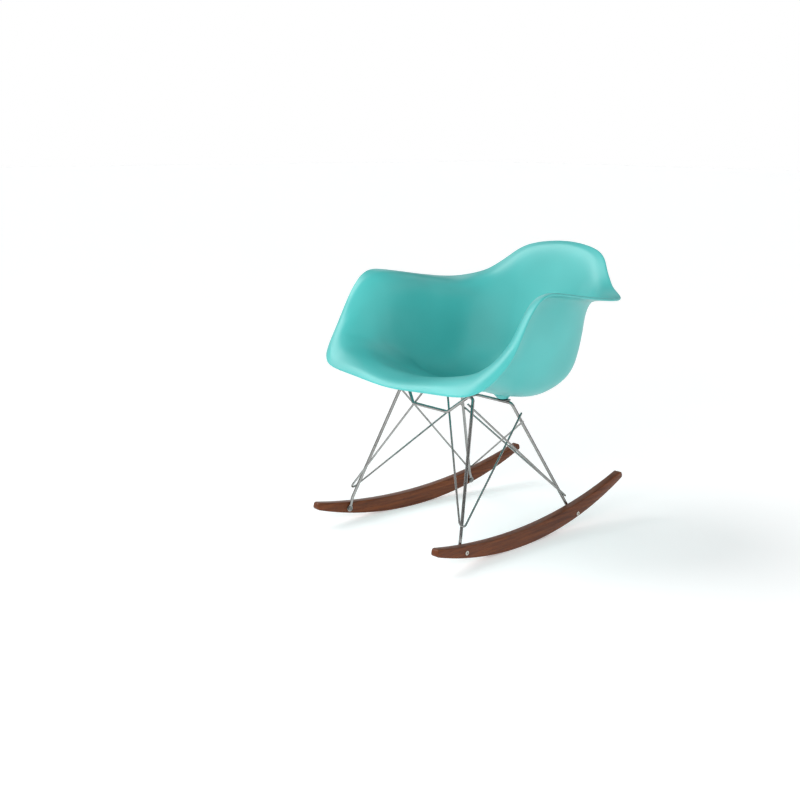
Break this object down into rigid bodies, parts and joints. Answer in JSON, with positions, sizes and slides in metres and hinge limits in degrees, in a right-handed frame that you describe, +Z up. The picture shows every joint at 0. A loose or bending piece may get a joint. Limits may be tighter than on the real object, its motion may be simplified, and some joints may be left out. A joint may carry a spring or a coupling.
{
  "type": "rocking chair",
  "caption": "Low rocking armchair: a moulded plastic bucket seat on a cross-braced bent rod frame with wooden rockers.",
  "frame": {"origin": "on the floor plane, in the chair's mirror plane, where the rockers touch the floor at rest", "axes": "+X to the sitter's left, -Y to the front of the chair, +Z up"},
  "size_m": [0.6278, 0.6993, 0.6969],
  "materials": {
    "shell": "satin moulded polypropylene",
    "rod": "chromed steel",
    "strut": "chromed steel",
    "tab": "zinc plated",
    "pad": "matte",
    "screw": "zinc plated",
    "insert": "turned",
    "rocker": "dark stained, satin",
    "nut": "nickel plated"
  },
  "bodies": {
    "root": {"seat_shell": "shell", "front_leg_rod": "rod", "rear_leg_rod": "rod", "rocker_left": "rocker", "rocker_right": "rocker", "strut_front_left": "strut", "seat_tab_front_left": "tab", "rubber_pad_front_left": "pad", "seat_screw_front_left": "screw", "threaded_insert_front_left": "insert", "rocker_bolt_front_left": "screw", "cap_nut_front_left": "nut", "strut_front_right": "strut", "seat_tab_front_right": "tab", "rubber_pad_front_right": "pad", "seat_screw_front_right": "screw", "threaded_insert_front_right": "insert", "rocker_bolt_front_right": "screw", "cap_nut_front_right": "nut", "strut_rear_left": "strut", "seat_tab_rear_left": "tab", "rubber_pad_rear_left": "pad", "seat_screw_rear_left": "screw", "threaded_insert_rear_left": "insert", "rocker_bolt_rear_left": "screw", "cap_nut_rear_left": "nut", "strut_rear_right": "strut", "seat_tab_rear_right": "tab", "rubber_pad_rear_right": "pad", "seat_screw_rear_right": "screw", "threaded_insert_rear_right": "insert", "rocker_bolt_rear_right": "screw", "cap_nut_rear_right": "nut"}
  },
  "joints": []
}
